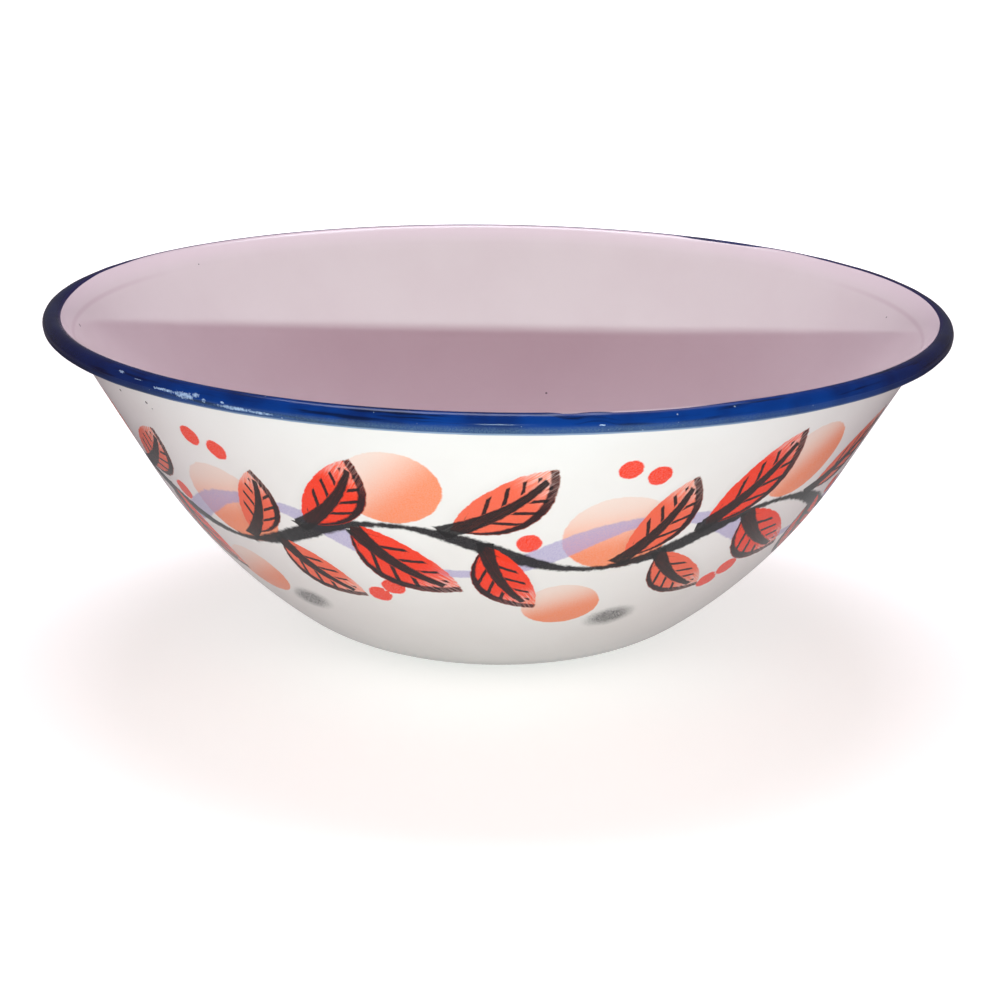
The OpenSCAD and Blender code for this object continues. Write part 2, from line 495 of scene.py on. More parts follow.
# %% Stencil ink
def make_stencil_ink():
    """How far an ink covers the glaze, from the distance to a shape's edge in millimetres."""
    tree, given = new_tree("stencil ink", "ShaderNodeTree",
                           [("Distance", FLOAT, 0.0), ("Softness", FLOAT, 0.4), ("Ragged", FLOAT, 0.4),
                            ("Grain", FLOAT, 0.2), ("Dryness", FLOAT, 0.0), ("Brush Place", VECTOR, None)],
                           [("Cover", FLOAT)])
    place = own_place(tree)
    torn = maths(tree, "SUBTRACT", noise(tree, place, 420.0, detail=4.0, roughness=0.65), 0.5)
    tear = maths(tree, "MULTIPLY", given["Ragged"], 4.0)
    distance = maths(tree, "MULTIPLY_ADD", torn, tear, given["Distance"])
    half = maths(tree, "MULTIPLY", given["Softness"], 0.5)
    edge = ramp(tree, distance, maths(tree, "MULTIPLY", half, -1.0), half, 1.0, 0.0)
    spray = ramp(tree, noise(tree, place, 2600.0, detail=2.0), 0.35, 0.62)
    grain = maths(tree, "SUBTRACT", 1.0, maths(tree, "MULTIPLY", spray, given["Grain"]))
    hairs = vector(tree, "MULTIPLY", given["Brush Place"], (2.2, 0.12, 1.0))
    streak = ramp(tree, noise(tree, hairs, 1.0, detail=3.0, roughness=0.7), 0.42, 0.6)
    dry = maths(tree, "SUBTRACT", 1.0, maths(tree, "MULTIPLY", streak, given["Dryness"]))
    cover = maths(tree, "MULTIPLY", maths(tree, "MULTIPLY", edge, grain), dry)
    return finish_tree(tree, cover=cover)


stencil_ink = make_stencil_ink()


# %% Worn mark
def make_worn_mark():
    """Mask of one ragged mark at a place on the bowl, long round the bowl and narrow across."""
    tree, given = new_tree("worn mark", "ShaderNodeTree",
                           [("Centre", VECTOR, None), ("Azimuth", VECTOR, None), ("Size", VECTOR, None),
                            ("Ragged", FLOAT, 0.5)],
                           [("Mask", FLOAT)])
    place = own_place(tree)
    inputs = {"Vector": place, "Location": given["Centre"], "Rotation": given["Azimuth"],
              "Scale": given["Size"]}
    local = add(tree, "ShaderNodeMapping", inputs, vector_type="TEXTURE").outputs[0]
    torn = maths(tree, "SUBTRACT", noise(tree, place, 1500.0, detail=3.0, roughness=0.7), 0.5)
    tear = maths(tree, "MULTIPLY", given["Ragged"], 5.0)
    reach = maths(tree, "MULTIPLY_ADD", torn, tear, length_of(tree, local))
    return finish_tree(tree, mask=ramp(tree, reach, 0.7, 1.0, 1.0, 0.0))


worn_mark = make_worn_mark()


# %% Helpers that place the groups
def use(tree, group, output, **inputs):
    """Places a group in a tree and returns one output. A name's underscores stand for spaces."""
    named = {name.replace("_", " ").title(): value for name, value in inputs.items()}
    node = tree.nodes.new("ShaderNodeGroup")
    node.node_tree = group
    for name, value in named.items():
        feed(tree, node.inputs[name], value)
    return node.outputs[output]


def marks(tree, rows, ragged):
    """Mask of several marks. Each row is an azimuth, a place in the profile, a length and a width."""
    mask = 0.0
    for azimuth, (radius, height), long, wide in rows:
        turn = math.radians(azimuth)
        centre = (radius * math.cos(turn), radius * math.sin(turn), height)
        own = use(tree, worn_mark, "Mask", centre=centre, azimuth=(0, 0, turn), ragged=ragged,
                  size=(wide / 2, long / 2, wide / 2))
        mask = maths(tree, "MAXIMUM", mask, own)
    return mask


# %% Places on the side and on the bead
def on_path(path, height):
    """The place at that height on the side, above the foot."""
    side = np.array([p for p in path if p[0] > foot_outer])
    return float(np.interp(height, side[:, 1], side[:, 0])), height


def on_bead(degrees):
    """The place on the bead in that direction from its centre."""
    return tuple(bead_centre + bead_radius * heading(degrees))


# %% [markdown]
# ## Colours and plain glaze
# A glaze is glass with colour fused into it, so one clear and shiny shader serves them all. Colours
# are written as a paint chart gives them, from 0 to 255, and turned into the linear values that
# the renderer works in. Waves in the mesh itself would take millions of faces, so the waviness
# goes in through a Bump node.

# %% Paint chart and the plain glaze
BYTE = 255
GAMMA = 2.4


def paint(red, green, blue):
    """A colour from a paint chart as linear RGBA."""
    shares = [value / BYTE for value in (red, green, blue)]
    return tuple(s / 12.92 if s <= 0.04045 else ((s + 0.055) / 1.055) ** GAMMA for s in shares) + (1.0,)


GLASS_IOR = 1.52


def new_glaze(name, gloss, peel_height, peel_waves):
    """A material with a shiny shader and its waviness wired in. Returns its tree and shader too."""
    glaze = bpy.data.materials.new(name)
    glaze.use_nodes = True
    tree = glaze.node_tree
    shader = tree.nodes["Principled BSDF"]
    shader.inputs["Roughness"].default_value = gloss
    shader.inputs["IOR"].default_value = GLASS_IOR
    height = use(tree, orange_peel, "Height", waves_per_metre=peel_waves)
    bump = add(tree, "ShaderNodeBump", {"Height": height, "Distance": peel_height})
    feed(tree, shader.inputs["Normal"], bump.outputs[0])
    return glaze, tree, shader


def mottled(tree, colour, deep, waves, amount):
    """A colour that drifts a little towards a deeper one, as an uneven coat does."""
    place = own_place(tree)
    cloud = ramp(tree, noise(tree, place, waves, detail=3.0), 0.35, 0.75)
    return painted(tree, maths(tree, "MULTIPLY", cloud, amount), colour, deep)


GROUND_COLOUR = paint(24, 24, 34)
GROUND_DEEP = paint(14, 16, 26)

# %% [markdown]
# ## Hidden layers
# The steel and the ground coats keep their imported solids. They show only at the rolled edge
# under the bead, but they are finished all the same: pickled steel with a fine brushed grain, and
# blue-black glass.

# %% Steel and ground coat
STEEL_DULL = paint(150, 148, 145)
STEEL_BRIGHT = paint(186, 184, 180)


def make_steel():
    """Bare metal with a fine grain in its colour and its roughness."""
    steel = bpy.data.materials.new("pickled_steel")
    steel.use_nodes = True
    tree = steel.node_tree
    shader = tree.nodes["Principled BSDF"]
    place = own_place(tree)
    grain = noise(tree, vector(tree, "MULTIPLY", place, (1.0, 1.0, 12.0)), 300.0, detail=3.0)
    shader.inputs["Metallic"].default_value = 1.0
    feed(tree, shader.inputs["Base Color"], painted(tree, grain, STEEL_DULL, STEEL_BRIGHT))
    feed(tree, shader.inputs["Roughness"], ramp(tree, grain, 0.2, 0.8, 0.35, 0.55))
    return steel


def make_ground_glaze():
    """Blue-black glass, uneven in depth."""
    glaze, tree, shader = new_glaze("ground_glaze", 0.25, 0.02 * MM, 300.0)
    feed(tree, shader.inputs["Base Color"], mottled(tree, GROUND_COLOUR, GROUND_DEEP, 200.0, 0.8))
    return glaze


steel = make_steel()
ground_glaze = make_ground_glaze()
for node_name, finish in (("steel_body", steel), ("ground_coat_inside", ground_glaze),
                          ("ground_coat_outside", ground_glaze)):
    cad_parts[node_name].data.materials.clear()
    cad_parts[node_name].data.materials.append(finish)
print("finished the hidden layers")

# %% [markdown]
# ## Pink inside
# The inside is an opaque dusty pink with a soft shine, slightly uneven in depth, with a few dark
# pinholes. The lip is painted a little paler, a painted highlight, and a thin darker line where the
# lip starts is painted shade in that crease, strongest at the bowl's left and right ends. Subsurface
# light isn't needed, because the glass is opaque and thin.

# %% Pink glaze
PINK = paint(231, 216, 219)
DEEP_PINK = paint(226, 209, 213)
LIP_HIGHLIGHT_PINK = paint(238, 217, 225)
CREASE_SHADE_PINK = paint(190, 150, 168)
CREASE_RISE = 1.5 * MM
inner_wall = wall_path(-at_cover, COARSE)

# Each speck: its azimuth in degrees, its height and its size
INSIDE_SPECKS = [(184, 103 * MM, 1.5 * MM), (142.5, 105.4 * MM, 0.7 * MM), (12, 101.3 * MM, 0.8 * MM),
                 (80, 52.5 * MM, 1.0 * MM)]


def make_pink_glaze():
    """Dusty pink glass with a lip painted paler as a highlight, painted shade in the crease at both ends, and
    specks.
    """
    glaze, tree, shader = new_glaze("pink_glaze", 0.22, 0.03 * MM, 90.0)
    colour = mottled(tree, PINK, DEEP_PINK, 35.0, 0.6)
    place = own_place(tree)
    height = xyz(tree, place)[2]
    # The top of the lip is painted paler: a painted highlight.
    lip = ramp(tree, height, bowl_height - 6 * MM, bowl_height - 1 * MM)
    colour = painted(tree, maths(tree, "MULTIPLY", lip, 0.6), colour, LIP_HIGHLIGHT_PINK)
    # A thin darker line where the lip starts, strongest at the bowl's left and right ends, is painted shade
    # in the crease.
    off_crease = maths(tree, "ABSOLUTE", maths(tree, "SUBTRACT", height, float(lip_foot[1]) + CREASE_RISE))
    aside = xyz(tree, vector(tree, "ABSOLUTE", place))[0]
    at_ends = ramp(tree, aside, 0.78 * rim_radius, 0.94 * rim_radius, 0.06, 1.0)
    crease = maths(tree, "MULTIPLY", ramp(tree, off_crease, 0.1 * MM, 1.1 * MM, 0.26, 0.0), at_ends)
    colour = painted(tree, crease, colour, CREASE_SHADE_PINK)
    holes = use(tree, pinholes, "Mask", cells_per_metre=30.0, share=0.04, size=0.01,
                offset=(0.31, 0.2, 0.1))
    rows = [(azimuth, on_path(inner_wall, height), size, size) for azimuth, height, size in INSIDE_SPECKS]
    holes = maths(tree, "MAXIMUM", holes, maths(tree, "MULTIPLY", marks(tree, rows, 0.12), 0.7))
    feed(tree, shader.inputs["Base Color"], painted(tree, holes, colour, GROUND_COLOUR))
    return glaze


pink_glaze = make_pink_glaze()
print("made", pink_glaze.name)

# %% [markdown]
# ## Cobalt on the bead
# The blue is dark and deep, and thin along its upper edge, where the pink shows through as
# violet. Towards the bowl's left and right ends it is painted nearly black, as painted shade.
# Years of stacking have left pale scuffs on the outside of the bead, and a dull, dusty bloom with
# fine white grains towards its underside, most of it on the sides that face forwards and
# backwards. A pale line along the very underside is a painted highlight. All this could be
# painted on an image. Here the violet follows the distance from the brushed edge, an attribute in
# millimetres that the tree stored, the bloom follows the height on the bead, and each scuff has a
# place in a list, so that any of them can be moved or made stronger with one number.

# %% Brushed blue
COBALT = paint(8, 54, 130)
DEEP_COBALT = paint(12, 30, 84)
STROKE_BLUE = paint(10, 18, 44)
END_SHADE_BLUE = paint(23, 17, 54)
THIN_VIOLET = paint(44, 30, 84)


def brushed_blue_with_end_shade(tree, place, from_edge):
    """The blue with strokes along the bead, its left and right ends painted darker as shade, and a thin
    violet edge.
    """
    colour = mottled(tree, COBALT, DEEP_COBALT, 60.0, 0.9)
    x, y, _ = xyz(tree, place)
    stroke_place = add(tree, "ShaderNodeCombineXYZ",
                       {0: maths(tree, "MULTIPLY", x, 30.0), 1: maths(tree, "MULTIPLY", y, 30.0),
                        2: maths(tree, "MULTIPLY", from_edge, 0.55)}).outputs[0]
    strokes = noise(tree, stroke_place, 1.0, detail=3.0, roughness=0.6)
    colour = painted(tree, ramp(tree, strokes, 0.52, 0.66, 0.0, 0.8), colour, STROKE_BLUE)
    # The bowl's left and right ends are painted darker: painted shade.
    right_end_shade = ramp(tree, x, 0.6 * rim_radius, 0.93 * rim_radius, 0.0, 0.85)
    left_end_shade = ramp(tree, x, -0.45 * rim_radius, -0.9 * rim_radius, 0.0, 0.85)
    colour = painted(tree, maths(tree, "MAXIMUM", right_end_shade, left_end_shade), colour, END_SHADE_BLUE)
    return painted(tree, ramp(tree, from_edge, 0.1, 1.6, 0.7, 0.0), colour, THIN_VIOLET)


# %% Wear and a painted highlight on the blue
BLOOM_BLUE = paint(88, 112, 138)
UNDERSIDE_HIGHLIGHT_BLUE = paint(168, 190, 222)
GRAIN_BLUE = paint(190, 206, 220)


def wear_and_highlight_blue(tree, place, on_roll, colour):
    """Bloom, a painted highlight along the underside, and grains, by the height on the bead from -1 to 1."""
    aside = maths(tree, "DIVIDE", maths(tree, "ABSOLUTE", xyz(tree, place)[0]), rim_radius)
    # This share is strongest at the front and back and fades towards the left and right ends, so the ends
    # stay dark: painted shade.
    wear_and_highlight_share = ramp(tree, aside, 0.2, 0.85, 0.75, 0.08)
    dust = ramp(tree, noise(tree, place, 2300.0, detail=3.0, roughness=0.75), 0.36, 0.66, 0.35, 1.0)
    below = ramp(tree, on_roll, 0.2, -0.45)
    bloom = maths(tree, "MULTIPLY", maths(tree, "MULTIPLY", below, dust), wear_and_highlight_share)
    colour = painted(tree, bloom, colour, BLOOM_BLUE)
    # A pale line along the underside is a painted highlight.
    underside = maths(tree, "MULTIPLY", ramp(tree, on_roll, -0.6, -0.78), wear_and_highlight_share)
    colour = painted(tree, underside, colour, UNDERSIDE_HIGHLIGHT_BLUE)
    grain_share = ramp(tree, on_roll, 0.8, -0.4, 0.05, 0.3)
    grains = use(tree, pinholes, "Mask", cells_per_metre=420.0, share=grain_share, size=0.12,
                 offset=(0.11, 0.0, 0.0))
    return painted(tree, maths(tree, "MULTIPLY", grains, maths(tree, "ADD", wear_and_highlight_share, 0.15)), colour,
                   GRAIN_BLUE)


# %% Cobalt glaze
SCUFF_BLUE = paint(172, 192, 226)
SHINY = 0.18
MATT = 0.6

# Each scuff: its azimuth and its direction on the bead, in degrees, then its length and its width
SCUFFS = [(222.6, 40, 3 * MM, 0.8 * MM), (226, 25, 4 * MM, 0.3 * MM), (230.5, 8, 9 * MM, 0.9 * MM),
          (233.5, 2, 9 * MM, 2.0 * MM), (235.2, 16, 3 * MM, 1.4 * MM), (236.4, -6, 1.6 * MM, 1.3 * MM),
          (239.0, 4, 1.2 * MM, 0.8 * MM), (240.5, -16, 12 * MM, 1.3 * MM), (244, -22, 9 * MM, 0.9 * MM),
          (281, 4, 3 * MM, 0.4 * MM)]


def make_cobalt_glaze():
    """The brushed and worn blue with its scuffs, dull where it is thin, scuffed or faces down."""
    glaze, tree, shader = new_glaze("cobalt_glaze", SHINY, 0.05 * MM, 260.0)
    shader.inputs["Specular IOR Level"].default_value = 0.16
    place = own_place(tree)
    from_edge = stored(tree, "from_edge", "Fac")
    over_centre = maths(tree, "SUBTRACT", xyz(tree, place)[2], float(bead_centre[1]))
    on_roll = maths(tree, "DIVIDE", over_centre, bead_radius)
    colour = wear_and_highlight_blue(tree, place, on_roll, brushed_blue_with_end_shade(tree, place, from_edge))

    rows = [(azimuth, on_bead(way), long, wide) for azimuth, way, long, wide in SCUFFS]
    rubbed = ramp(tree, noise(tree, place, 1100.0, detail=4.0, roughness=0.7), 0.36, 0.6, 0.2, 0.85)
    scuff = maths(tree, "MULTIPLY", marks(tree, rows, 0.5), rubbed)
    feed(tree, shader.inputs["Base Color"], painted(tree, scuff, colour, SCUFF_BLUE))

    soft_edge = ramp(tree, from_edge, 0.3, 2.6, 0.45, 0.0)
    dull_below = ramp(tree, on_roll, 0.2, -0.4)
    dullness = maths(tree, "MAXIMUM", maths(tree, "MAXIMUM", soft_edge, scuff), dull_below)
    feed(tree, shader.inputs["Roughness"], ramp(tree, dullness, 0.0, 1.0, SHINY, MATT))
    return glaze


cobalt_glaze = make_cobalt_glaze()
print("made", cobalt_glaze.name)

# %% [markdown]
# ## A print of leaves and fruit
# The white side carries a print that is sprayed through stencils, one colour at a time. The design
# here is a plain running border: a dark vine and a lilac ribbon wave round the bowl and cross,
# leaves grow from the vine, and round fruit, small berries and soft smudges lie about it. An
# image could be wrapped round the side, but it would blur close up. The shapes are drawn in the
# shader instead, so their edges stay sharp however close the camera comes. Each face of the mesh
# only has to know where it lies on the nearest leaf or fruit, in that motif's own coordinates,
# which later cells work out.

# %% Leaf shape
LEAF_HALF = 21.0
LEAF_WIDE = 10.0
RIB_WIDE = 2.0
RIB_SHIFT = 4.5
RIB_HALF = 20.0
VEIN_GAP = 7.6
VEIN_HALF = 1.0
VEIN_SLANT = -1.15
VEIN_INSET = 2.2


def make_leaf_shape():
    """Distances in millimetres to the edge of a bent pointed leaf, and to its rib and veins."""
    tree, given = new_tree("leaf shape", "ShaderNodeTree",
                           [("Place", VECTOR, None), ("Bend", FLOAT, 0.008)],
                           [("Distance", FLOAT), ("Rib", FLOAT), ("Along", FLOAT)])
    x, along, _ = xyz(tree, given["Place"])
    bow = maths(tree, "MULTIPLY", along, along)
    across = maths(tree, "MULTIPLY_ADD", bow, given["Bend"], x)
    side = maths(tree, "ABSOLUTE", across)
    round_r = (LEAF_HALF ** 2 + LEAF_WIDE ** 2) / (2 * LEAF_WIDE)
    reach = add(tree, "ShaderNodeCombineXYZ", {0: maths(tree, "ADD", side, round_r - LEAF_WIDE), 1: along})
    distance = maths(tree, "SUBTRACT", length_of(tree, reach.outputs[0]), round_r)

    taper = maths(tree, "MULTIPLY_ADD", along, RIB_WIDE * 0.6 / LEAF_HALF, -RIB_WIDE)
    off_rib = maths(tree, "ABSOLUTE", maths(tree, "ADD", along, RIB_SHIFT))
    past_rib = maths(tree, "SUBTRACT", off_rib, RIB_HALF)
    rib = maths(tree, "MAXIMUM", maths(tree, "ADD", side, taper), past_rib)
    slant = maths(tree, "MULTIPLY_ADD", side, VEIN_SLANT, along)
    cell = maths(tree, "ABSOLUTE", maths(tree, "SUBTRACT", maths(tree, "FLOORED_MODULO", slant, VEIN_GAP),
                                         VEIN_GAP / 2))
    vein = maths(tree, "SUBTRACT", cell, VEIN_HALF)
    vein = maths(tree, "MAXIMUM", vein, maths(tree, "ADD", distance, VEIN_INSET))
    vein = maths(tree, "MAXIMUM", vein, maths(tree, "SUBTRACT", VEIN_INSET, side))
    share = maths(tree, "DIVIDE", along, LEAF_HALF)
    return finish_tree(tree, distance=distance, rib=maths(tree, "MINIMUM", rib, vein), along=share)


leaf_shape = make_leaf_shape()


# %% Waving line
def make_wave_line():
    """Distance in millimetres to a line that waves round the band."""
    tree, given = new_tree("waving line", "ShaderNodeTree",
                           [("Place", VECTOR, None), ("Waves", FLOAT, 6.0), ("Reach", FLOAT, 9.0),
                            ("Shift", FLOAT, 0.0), ("Half Width", FLOAT, 1.0), ("Swell", FLOAT, 0.0),
                            ("Band Radius", FLOAT, 115.0)],
                           [("Distance", FLOAT)])
    around, over, _ = xyz(tree, given["Place"])
    turn = maths(tree, "MULTIPLY", given["Waves"], FULL_TURN)
    phase = maths(tree, "MULTIPLY_ADD", around, turn, given["Shift"])
    height = maths(tree, "MULTIPLY", maths(tree, "SINE", phase), given["Reach"])
    all_reach = maths(tree, "MULTIPLY", given["Reach"], given["Waves"])
    climb = maths(tree, "DIVIDE", all_reach, given["Band Radius"])
    slope = maths(tree, "MULTIPLY", maths(tree, "COSINE", phase), climb)
    square = maths(tree, "MULTIPLY_ADD", slope, slope, 1.0)
    off = maths(tree, "ABSOLUTE", maths(tree, "SUBTRACT", over, height))
    true_off = maths(tree, "DIVIDE", off, maths(tree, "SQRT", square))
    double = maths(tree, "COSINE", maths(tree, "MULTIPLY", phase, 2.0))
    half = maths(tree, "MULTIPLY_ADD", double, given["Swell"], given["Half Width"])
    return finish_tree(tree, distance=maths(tree, "SUBTRACT", true_off, half))


waving_line = make_wave_line()

# %% [markdown]
# ## White outside
# The inks go over the white one at a time, in the order in which they are sprayed: the fruit with
# the berries and smudges, the lilac ribbon, the dark vine, and last the leaves, each with a faint
# haze under it and its dark lines on top. Each layer covers what lies under it by its own mask.

# %% Inks and their sizes
WHITE = paint(238, 228, 229)
DEEP_WHITE = paint(232, 221, 221)
PALE_ORANGE = paint(250, 190, 154)
ORANGE = paint(246, 126, 76)
BERRY_RED = paint(244, 50, 10)
SMUDGE_GREY = paint(30, 28, 32)
LILAC = paint(172, 156, 200)
VINE_BLACK = paint(24, 20, 26)
HAZE_GREY = paint(72, 66, 74)
LEAF_RED = paint(244, 48, 6)
RED_TIP = paint(248, 80, 32)
LEAF_CORAL = paint(240, 96, 68)
CORAL_TIP = paint(248, 134, 104)
STROKE_BROWN = paint(36, 12, 20)
LINE_BLACK = paint(20, 16, 20)

# Lengths in millimetres
WAVES = 6
VINE_REACH = 9.0
RIBBON_REACH = 11.0
RIBBON_SHIFT = 2.2
FRUIT_RADIUS = 15.0
BERRY_RADIUS = 3.8
HAZE_STEP = (1.6, 1.2, 0.0)
SHADE_STEP = (2.6, 1.4, 0.0)
# Fruit have a tone from 0 to 0.5, and these tones mark the other round motifs
BERRY_TONE = 2.0
SMUDGE_TONE = 3.0

# Each speck: its azimuth in degrees, its height and its size
OUTSIDE_SPECKS = [(213.8, 98 * MM, 1.1 * MM), (220.3, 97.4 * MM, 1.2 * MM), (221, 95.7 * MM, 0.7 * MM)]


# %% Fruit, ribbon and vine
def ink(tree, distance, brush, softness, ragged, grain, dryness=0.0):
    """Cover of one ink."""
    return use(tree, stencil_ink, "Cover", distance=distance, softness=softness, ragged=ragged,
               grain=grain, dryness=dryness, brush_place=brush)


def lay_fruit(tree, colour):
    """Round fruit that fade towards one side, small berries, and smudges of dark spray."""
    place = stored(tree, "fruit_stamp")
    x, y, tone = xyz(tree, place)
    flat = vector(tree, "MULTIPLY", place, (1.0, 1.0, 0.0))
    lean = maths(tree, "SUBTRACT", maths(tree, "MULTIPLY", x, 0.5), y)
    berry = maths(tree, "GREATER_THAN", tone, BERRY_TONE / 2)
    smudge = maths(tree, "GREATER_THAN", tone, (BERRY_TONE + SMUDGE_TONE) / 2)
    radius = blend(tree, berry, FRUIT_RADIUS, BERRY_RADIUS)
    distance = maths(tree, "MULTIPLY", maths(tree, "SUBTRACT", length_of(tree, flat), 1.0), radius)
    softness = maths(tree, "MULTIPLY_ADD", smudge, 3.6, 0.6)
    cover = ink(tree, distance, flat, softness, 0.35, maths(tree, "MULTIPLY_ADD", smudge, 0.45, 0.1))
    fade = ramp(tree, lean, -1.1, 0.6, 0.35, 1.0)
    ripe = painted(tree, berry, painted(tree, fade, PALE_ORANGE, ORANGE), BERRY_RED)
    ripe = painted(tree, smudge, ripe, SMUDGE_GREY)
    full = maths(tree, "MULTIPLY", cover, maths(tree, "MAXIMUM", maths(tree, "MULTIPLY", fade, 0.95), berry))
    return painted(tree, full, colour, ripe)


def lay_ribbon(tree, colour):
    """The lilac ribbon."""
    band = stored(tree, "band_place")
    distance = use(tree, waving_line, "Distance", place=band, waves=float(WAVES), reach=RIBBON_REACH,
                   shift=RIBBON_SHIFT, half_width=2.9, swell=1.2)
    cover = ink(tree, distance, band, 0.9, 0.5, 0.25)
    return painted(tree, maths(tree, "MULTIPLY", cover, 0.85), colour, LILAC)


def lay_vine(tree, colour):
    """The dark vine."""
    band = stored(tree, "band_place")
    distance = use(tree, waving_line, "Distance", place=band, waves=float(WAVES), reach=VINE_REACH,
                   half_width=1.9, swell=0.9)
    return painted(tree, ink(tree, distance, band, 1.2, 0.6, 0.03), colour, VINE_BLACK)


# %% Leaves
def leaf_edge(tree, place):
    """Distance to the edge of a leaf."""
    return use(tree, leaf_shape, "Distance", place=place)


def lay_leaves(tree, colour):
    """A grey haze beside each leaf, the leaf, a dark stroke down one side, and its rib and veins."""
    place = stored(tree, "leaf_stamp")
    tone = xyz(tree, place)[2]
    beside = vector(tree, "ADD", place, HAZE_STEP)
    haze = ink(tree, leaf_edge(tree, beside), place, 5.0, 0.4, 0.45)
    colour = painted(tree, maths(tree, "MULTIPLY", haze, 0.08), colour, HAZE_GREY)
    distance = leaf_edge(tree, place)
    tip = ramp(tree, use(tree, leaf_shape, "Along", place=place), 0.2, 0.95)
    cover = ink(tree, distance, place, 0.45, 0.45, 0.03, maths(tree, "MULTIPLY", tip, 0.8))
    red = painted(tree, tip, LEAF_RED, RED_TIP)
    coral = painted(tree, tip, LEAF_CORAL, CORAL_TIP)
    colour = painted(tree, cover, colour, painted(tree, tone, red, coral))
    lit_side = leaf_edge(tree, vector(tree, "ADD", place, SHADE_STEP))
    off_shade = maths(tree, "MAXIMUM", distance, maths(tree, "MULTIPLY", lit_side, -1.0))
    shade = ink(tree, off_shade, place, 0.9, 0.4, 0.02, maths(tree, "MULTIPLY", tip, 0.35))
    colour = painted(tree, shade, colour, STROKE_BROWN)
    lines = ink(tree, use(tree, leaf_shape, "Rib", place=place), place, 0.7, 0.35, 0.02, 0.04)
    return painted(tree, lines, colour, LINE_BLACK)


# %% White glaze with the print
def make_white_glaze():
    """White glass with the inks laid over it one by one, and specks on top."""
    glaze, tree, shader = new_glaze("white_glaze", 0.2, 0.03 * MM, 90.0)
    colour = mottled(tree, WHITE, DEEP_WHITE, 30.0, 0.7)
    for lay in (lay_fruit, lay_ribbon, lay_vine, lay_leaves):
        colour = lay(tree, colour)
    holes = use(tree, pinholes, "Mask", cells_per_metre=42.0, share=0.05, size=0.014, offset=(0.07, 0.4, 0.0))
    rows = [(azimuth, on_path(outer_face, height), size, size) for azimuth, height, size in OUTSIDE_SPECKS]
    holes = maths(tree, "MAXIMUM", holes, marks(tree, rows, 0.12))
    feed(tree, shader.inputs["Base Color"], painted(tree, holes, colour, GROUND_COLOUR))
    return glaze


white_glaze = make_white_glaze()
print("made", white_glaze.name, "with", len(white_glaze.node_tree.nodes), "nodes")

# %% [markdown]
# ## From a path to a piece
# A tree works on an object's own geometry, so the profile is made a small mesh of points and
# edges, the tree is hung on it, and the evaluated result is kept as a plain mesh. The shell is
# closed, so its normals can be turned outwards in one call.

# %% Helpers that make the pieces
SHARP = math.radians(50)


def profile_object(name, path, closed):
    """A mesh of points and edges in the plane of x and z."""
    points = [(float(p[0]), 0.0, float(p[1])) for p in path]
    edges = [(i, i + 1) for i in range(len(points) - 1)]
    if closed:
        edges.append((len(points) - 1, 0))
    mesh = bpy.data.meshes.new(name)
    mesh.from_pydata(points, edges, [])
    made = bpy.data.objects.new(name, mesh)
    bpy.context.scene.collection.objects.link(made)
    return made


def grown(piece, tree, values):
    """Hangs the tree on the piece, keeps the result as its mesh and removes the modifier."""
    modifier = piece.modifiers.new(tree.name, "NODES")
    modifier.node_group = tree
    places = {item.name: item.identifier for item in tree.interface.items_tree if item.in_out == "INPUT"}
    for name, value in values.items():
        modifier[places[name]] = value
    depsgraph = bpy.context.evaluated_depsgraph_get()
    mesh = bpy.data.meshes.new_from_object(piece.evaluated_get(depsgraph), preserve_all_data_layers=True,
                                           depsgraph=depsgraph)
    piece.modifiers.clear()
    piece.data = mesh
    shell = bmesh.new()
    shell.from_mesh(mesh)
    bmesh.ops.dissolve_degenerate(shell, edges=shell.edges, dist=WELD)
    bmesh.ops.delete(shell, geom=[edge for edge in shell.edges if edge.is_wire], context="EDGES")
    bmesh.ops.recalc_face_normals(shell, faces=shell.faces)
    open_edges = sum(not edge.is_manifold for edge in shell.edges)
    shell.to_mesh(mesh)
    shell.free()
    mesh.set_sharp_from_angle(angle=SHARP)
    triangles = sum(len(face.vertices) - 2 for face in mesh.polygons)
    print(piece.name, "has", triangles, "triangles and", open_edges, "open edges")
    return piece


# %% The white coat
TURNS = 480
white_loop = wall_path(at_ground, COARSE) + outer_face[::-1]
outside_glaze = grown(profile_object("outside_glaze", white_loop, True), turned_tree,
                      {"Turns": TURNS, "Glaze": white_glaze})

# %% [markdown]
# ## The pink coat runs under the blue
# The pink was fired first, so it goes on under the cobalt for a little way. The blue lies on it
# with a step that catches the light. A bump could fake that step, but the blue is a coat with a
# thickness of its own, so room is made for it: the pink's path sinks a little along the lip.

# %% The pink coat
PINK_SINK = 0.17 * MM
SINK_SHARE = 0.6
PINK_END = lip_end - 75
PINK_GAP = 2 * MM
LIP_GAP = 0.5 * MM


def sunk_lip(gap):
    """The lip and the first of the bead on the pink's face, sinking as they go."""
    start = np.array(lip_foot) - out_of_side * at_cover
    points = arc(lip_centre, lip_radius, at_cover, lip_start, lip_end, gap)
    shares = [min(1.0, i / len(points) / SINK_SHARE) for i in range(1, len(points) + 1)]
    inward = [(lip_centre - p) / np.hypot(*(lip_centre - p)) for p in points]
    sunk = [p + way * PINK_SINK * share for p, way, share in zip(points, inward, shares)]
    return [start] + sunk + bead_path(PINK_SINK - at_cover, lip_end, PINK_END, gap)


inner_face = [p for p in wall_path(-at_cover, PINK_GAP) if p[1] < lip_foot[1] - at_cover]
pink_loop = inner_face + sunk_lip(LIP_GAP)
pink_loop += (wall_path(-at_ground, COARSE) + bead_path(-at_ground, lip_end, PINK_END, MM))[::-1]
inside_glaze = grown(profile_object("inside_glaze", pink_loop, True), turned_tree,
                     {"Turns": TURNS, "Glaze": pink_glaze})

